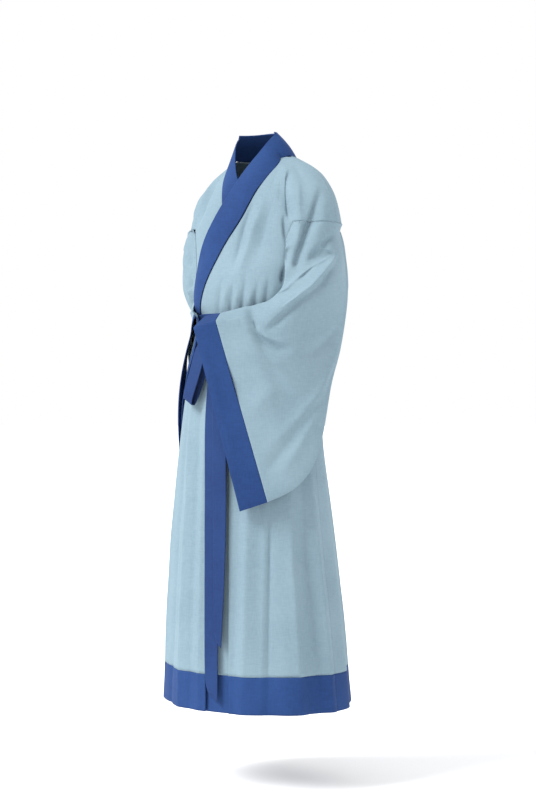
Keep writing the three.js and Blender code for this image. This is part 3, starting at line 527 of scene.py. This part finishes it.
# The hem band is one piece to each panel: its length and area in metres, its panel, and the folds
# that run on through it.
HEM_PIECES = {
    "hem_front_left": (0.31, 0.0267, front_left, SKIRT_FRONT_FOLDS),
    "hem_overlap": (0.35, 0.0302, overlap, OVERLAP_FOLDS),
    "hem_front_right": (0.55, 0.0474, front_right, OVERLAP_FOLDS),
    "hem_back_left": (0.39, 0.0336, back_left, BACK_FOLDS),
    "hem_back_right": (0.39, 0.0336, back_right, mirrored(BACK_FOLDS)),
}
hems = []
for node, (length, area, panel, folds) in HEM_PIECES.items():
    hem = sew(node, carried_down(folds), slack=1.6, material=band_cloth)
    close_seam(hem, [panel])
    hems.append((hem, panel))

# Topstitching: one row of thread on each band, just inside the seam that joins it to the cloth.
# Each stitch is a small spindle that lies in the band's surface.
STITCH_IN, STITCH_PITCH, STITCH_LONG, STITCH_THICK = 3.0 * MM, 4.6 * MM, 2.8 * MM, 0.5 * MM
FAR = 1.0                   # stands for a vertex with no neighbouring cloth near it
SPECK = 0.05 * MM           # a row's step shorter than this carries no stitch
OUTER_FACE = 0.5            # a face that looks out by this share or more is on the cloth's outside


def add_stitch(rows, middle, along, normal):
    """A spindle: a tip at each end and four sides between them."""
    across = along.cross(normal).normalized()
    spots = [middle - along * STITCH_LONG / 2, middle + along * STITCH_LONG / 2]
    ring = [middle + across * STITCH_THICK / 2, middle + normal * STITCH_THICK / 2,
            middle - across * STITCH_THICK / 2, middle - normal * STITCH_THICK / 2]
    tips = [rows.verts.new(c) for c in spots]
    belly = [rows.verts.new(c) for c in ring]
    for k in range(4):
        rows.faces.new((tips[0], belly[(k + 1) % 4], belly[k]))
        rows.faces.new((tips[1], belly[k], belly[(k + 1) % 4]))


def topstitch(band, neighbours, material, ways=away_from_figure):
    mesh = band.data
    surfaces = [surface_of(other) for other in neighbours]
    found = [[surface.find_nearest(v.co, 3 * STITCH_IN)[3] for surface in surfaces]
             for v in mesh.vertices]
    apart = [min((gap for gap in gaps if gap is not None), default=FAR) for gaps in found]
    rows = bmesh.new()
    cells = {}
    for face in mesh.polygons:
        out = Vector(ways(np.array([face.center]))[0])
        if face.normal.dot(out) < OUTER_FACE:
            continue
        ends = []
        corners = list(face.vertices)
        for a, b in zip(corners, corners[1:] + corners[:1]):
            if (apart[a] < STITCH_IN) != (apart[b] < STITCH_IN) and max(apart[a], apart[b]) < FAR:
                t = (STITCH_IN - apart[a]) / (apart[b] - apart[a])
                ends.append(mesh.vertices[a].co.lerp(mesh.vertices[b].co, t))
        if len(ends) != 2 or (ends[1] - ends[0]).length < SPECK:
            continue
        middle = (ends[0] + ends[1]) / 2
        cell = tuple(int(c // STITCH_PITCH) for c in middle)
        near = [q for dx in (-1, 0, 1) for dy in (-1, 0, 1) for dz in (-1, 0, 1)
                for q in cells.get((cell[0] + dx, cell[1] + dy, cell[2] + dz), ())]
        if any((q - middle).length < STITCH_PITCH for q in near):
            continue
        cells.setdefault(cell, []).append(middle)
        add_stitch(rows, middle, (ends[1] - ends[0]).normalized(), face.normal)
    stitches = bpy.data.meshes.new(band.name + "_thread")
    rows.to_mesh(stitches)
    rows.free()
    thread = bpy.data.objects.new(band.name.replace("_cloth", "") + "_stitches", stitches)
    scene.collection.objects.link(thread)
    stitches.materials.append(material)
    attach(thread, "root")


# Spun polyester sewing thread of the bands' own blue, a shade lighter and a little glossy.
sewing_thread = weave("deep_blue_sewing_thread", "34558c", "2b4a7c", "4a6ca2", thread=0.4 * MM,
                      sheen=0.1, rough=0.55, relief=0.2)
topstitch(collar, [front_left, front_right, back_left, back_right], sewing_thread)
topstitch(cuff_left, [sleeve_left], sewing_thread, out_of_left_sleeve)
topstitch(cuff_right, [sleeve_right], sewing_thread, out_of_right_sleeve)
for hem, panel in hems:
    topstitch(hem, [panel], sewing_thread)

# The belt is one long flat ribbon of the deep blue cloth: a turn round the waist, a knot,
# one loop and two tails of unequal length with slanted ends.
ribbon_cloth = weave("deep_blue_ribbon_weave", "1a3465", "162c57", "28487c", thread=1.0 * MM,
                     sheen=0.3, relief=0.3)

belt = sew("belt", [], slack=0.6, material=ribbon_cloth)
belt.name = "belt_ribbon"
for node, length in (("tail_long", 0.87), ("tail_short", 0.74), ("bow_loop", 0.36)):
    sew(node, [], slack=0.8, material=ribbon_cloth)

# Two creases across the knot, where the ribbon turns over itself.
KNOT_FOLDS = [
    ([(-30, -168, -356), (-18, -172, -376), (-8, -168, -394)], 5, -3.0, 0.0, 0.0),
    ([(-6, -170, -358), (-12, -174, -374), (-26, -168, -392)], 4, -2.0, 0.0, 0.0),
]
knot = cut_piece("belt_knot")
press(knot, KNOT_FOLDS, slack=0.8)
take_place(knot, "belt_knot", ribbon_cloth)

# A plain pale floor under the hem, and soft light from high on the camera's left.
FLOOR_Z, FLOOR_RADIUS = -1.47, 60.0
ground = bmesh.new()
bmesh.ops.create_circle(ground, cap_ends=True, segments=96, radius=FLOOR_RADIUS)
bmesh.ops.translate(ground, verts=ground.verts, vec=(0, 0, FLOOR_Z))
floor_mesh = bpy.data.meshes.new("floor")
ground.to_mesh(floor_mesh)
ground.free()
floor = bpy.data.objects.new("floor", floor_mesh)
scene.collection.objects.link(floor)
paper = bpy.data.materials.new("white_paper_floor")
paper.use_nodes = True
paper.node_tree.nodes["Principled BSDF"].inputs["Base Color"].default_value = linear("fcfcfd")
paper.node_tree.nodes["Principled BSDF"].inputs["Roughness"].default_value = 0.9
floor.data.materials.append(paper)

world = bpy.data.worlds.new("white_studio")
world.use_nodes = True
world.node_tree.nodes["Background"].inputs["Color"].default_value = linear("ffffff")
world.node_tree.nodes["Background"].inputs["Strength"].default_value = 1.0
scene.world = world


def add_sun(name, azimuth, height, strength, softness):
    lamp = bpy.data.lights.new(name, "SUN")
    lamp.energy = strength
    lamp.angle = radians(softness)
    sun = bpy.data.objects.new(name, lamp)
    scene.collection.objects.link(sun)
    back = Vector((sin(radians(azimuth)) * cos(radians(height)),
                   -cos(radians(azimuth)) * cos(radians(height)), sin(radians(height))))
    sun.rotation_euler = back.to_track_quat("Z", "Y").to_euler()


add_sun("key", azimuth=-25, height=44, strength=3.5, softness=26)
add_sun("rim", azimuth=130, height=35, strength=0.4, softness=30)

# The camera looks level from beside the robe's left front, a good four metres off.
CAMERA_PLACE = (2.836, -3.364, -0.556)
CAMERA_TURN = radians(40)
lens = bpy.data.cameras.new("camera")
lens.lens = 81.8
lens.sensor_width = 36.0
camera = bpy.data.objects.new("camera", lens)
scene.collection.objects.link(camera)
camera.location = CAMERA_PLACE
camera.rotation_euler = (pi / 2, 0.0, CAMERA_TURN)
scene.camera = camera
